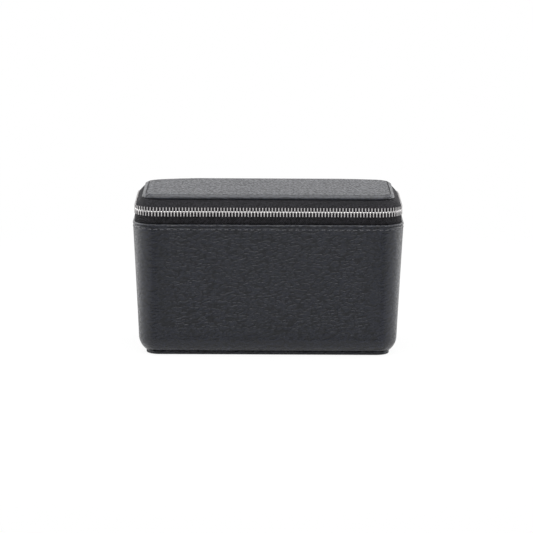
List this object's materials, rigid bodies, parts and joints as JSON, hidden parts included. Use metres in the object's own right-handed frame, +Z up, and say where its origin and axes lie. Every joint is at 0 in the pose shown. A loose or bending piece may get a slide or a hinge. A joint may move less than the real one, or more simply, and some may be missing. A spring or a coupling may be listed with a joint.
{
  "type": "leather jewellery case",
  "caption": "Rounded rectangular leather jewellery case with a zip-round hinged lid, lift-out tray with ring rolls and a mirror in the lid.",
  "frame": {"origin": "centre of the base panel's underside, on the surface the case stands on", "axes": "+X to the case's right seen from the front, +Y to the back where the hinge strip is, +Z up"},
  "size_m": [0.17, 0.0935, 0.1018],
  "materials": {
    "leather": "pebble-grained, satin",
    "board": "grey board",
    "suede": "napped microsuede",
    "padding": "microsuede over foam",
    "zip_tape": "woven tape",
    "zip_metal": "polished nickel",
    "mirror": "silvered glass"
  },
  "bodies": {
    "case": {"base_panel": "leather", "body_cover": "leather", "body_carcass": "board", "body_lining": "suede", "lower_divider": "suede", "floor_pad_left": "padding", "floor_pad_right": "padding", "tray_ledge_left": "suede", "tray_ledge_right": "suede", "zip_tape_lower": "zip_tape", "zip_teeth_lower": "zip_metal", "zip_teeth_left_end": "zip_metal", "zip_teeth_right_end": "zip_metal", "zip_end_tape_left": "zip_tape", "zip_end_tape_right": "zip_tape", "zip_top_stops": "zip_metal", "zip_bottom_stop": "zip_metal", "hinge_strip": "leather"},
    "lid": {"lid_cover": "leather", "lid_board": "board", "lid_lining": "suede", "mirror_glass": "mirror", "mirror_frame": "leather", "zip_tape_upper": "zip_tape", "zip_teeth_upper": "zip_metal"},
    "slider": {"slider_body": "zip_metal"},
    "pull_tab": {"pull_tab": "zip_metal"},
    "tray": {"tray_body": "suede", "tray_divider": "suede", "tray_cross_divider": "suede", "ring_roll_1": "padding", "ring_roll_2": "padding", "ring_roll_3": "padding", "ring_roll_4": "padding", "ring_roll_5": "padding", "tray_tab_left": "leather", "tray_tab_right": "leather"}
  },
  "joints": [
    {"name": "lid_hinge", "type": "hinge", "parent": "case", "child": "lid", "pos_m": [0, 0.0446, 0.0918], "axis": [-1, 0, 0], "range_deg": [0, 95], "deforming": ["hinge_strip"]},
    {"name": "slider_slide", "type": "slide", "parent": "case", "child": "slider", "axis": [1, 0, 0], "range_m": [0, 0.014], "deforming": ["zip_teeth_right_end"]},
    {"name": "pull_swing", "type": "hinge", "parent": "slider", "child": "pull_tab", "pos_m": [0.044, 0.0471, 0.0918], "axis": [1, 0, 0], "range_deg": [0, 65]},
    {"name": "tray_lift", "type": "slide", "parent": "case", "child": "tray", "axis": [0, 0, 1], "range_m": [0, 0.012]}
  ]
}
